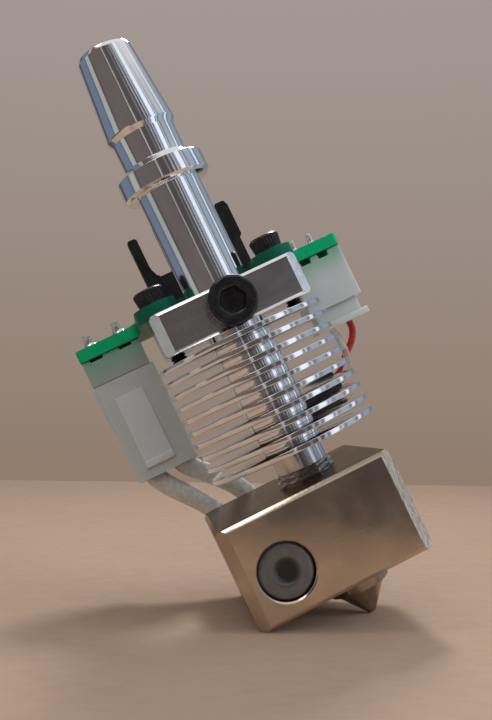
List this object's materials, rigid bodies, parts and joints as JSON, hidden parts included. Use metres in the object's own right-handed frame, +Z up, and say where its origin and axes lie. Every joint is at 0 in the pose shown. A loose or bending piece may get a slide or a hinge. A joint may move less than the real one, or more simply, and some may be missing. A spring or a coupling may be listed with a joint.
{
  "type": "3d printer hotend assembly",
  "caption": "Printer hotend: a turned stem in a clamp block over a finned heatsink, a heater block with nozzle, and a small circuit board with two plugs.",
  "frame": {"origin": "on the filament path's axis, in the plane of the stem flange's lower face", "axes": "+Z up along the filament path towards the inlet, -Y towards the clamp screw's head, +X towards the smaller plug"},
  "size_m": [0.0369, 0.0305, 0.0723],
  "materials": {
    "polished_aluminium": "turned and polished",
    "clamp_aluminium": "polished",
    "nickel_plate": "satin nickel plate",
    "plain_steel": "turned",
    "cartridge_steel": "drawn tube",
    "black_steel": "black oxide",
    "nozzle_metal": "turned",
    "liner_plastic": "smooth",
    "green_board": "solder mask",
    "black_plastic": "moulded",
    "white_nylon": "moulded, slightly translucent",
    "tinned_metal": "tinned",
    "contact_metal": "stamped",
    "solder": "bright",
    "glass_fibre_sleeve": "braided",
    "red_insulation": "smooth",
    "white_insulation": "smooth",
    "shrink_sleeve": "satin"
  },
  "bodies": {
    "frame": {"stem": "polished_aluminium", "liner_tube": "liner_plastic", "clamp_block": "clamp_aluminium", "heatsink": "polished_aluminium", "heat_break": "plain_steel", "heater_block": "nickel_plate", "heater_cartridge": "cartridge_steel", "temperature_sensor": "plain_steel", "circuit_board": "green_board", "locating_fork": "black_plastic", "heater_header": "white_nylon", "heater_header_pins": "tinned_metal", "heater_plug": "white_nylon", "heater_plug_contacts": "contact_metal", "sensor_header": "white_nylon", "sensor_header_pins": "tinned_metal", "sensor_plug": "white_nylon", "sensor_plug_contacts": "contact_metal", "solder_joints": "solder", "heater_lead_left": "glass_fibre_sleeve", "heater_lead_right": "glass_fibre_sleeve", "sensor_lead_right": "red_insulation", "sensor_lead_left": "white_insulation", "sensor_lead_sleeve": "shrink_sleeve"},
    "clamp_screw": {"clamp_screw": "black_steel"},
    "board_screw_left": {"board_screw_left": "black_steel"},
    "board_screw_right": {"board_screw_right": "black_steel"},
    "nozzle": {"nozzle": "nozzle_metal"},
    "cartridge_lock_screw": {"cartridge_lock_screw": "black_steel"},
    "sensor_lock_screw": {"sensor_lock_screw": "black_steel"}
  },
  "joints": [
    {"name": "clamp_screw_turn", "type": "hinge", "parent": "frame", "child": "clamp_screw", "pos_m": [0, -0.006, -0.01565], "axis": [0, -1, 0], "range_deg": [0, 2160]},
    {"name": "board_screw_left_turn", "type": "hinge", "parent": "frame", "child": "board_screw_left", "pos_m": [-0.0075, 0, -0.0116], "axis": [0, 0, 1], "range_deg": [0, 4860]},
    {"name": "board_screw_right_turn", "type": "hinge", "parent": "frame", "child": "board_screw_right", "pos_m": [0.0075, 0, -0.0116], "axis": [0, 0, 1], "range_deg": [0, 4860]},
    {"name": "nozzle_turn", "type": "hinge", "parent": "frame", "child": "nozzle", "pos_m": [0, 0, -0.0484], "axis": [0, 0, -1], "range_deg": [0, 2160]},
    {"name": "cartridge_lock_screw_turn", "type": "hinge", "parent": "frame", "child": "cartridge_lock_screw", "pos_m": [-0.0076, 0.001, -0.0484], "axis": [0, 0, -1], "range_deg": [0, 1080]},
    {"name": "sensor_lock_screw_turn", "type": "hinge", "parent": "frame", "child": "sensor_lock_screw", "pos_m": [0.0052, 0.003, -0.0484], "axis": [0, 0, -1], "range_deg": [0, 1980]}
  ]
}
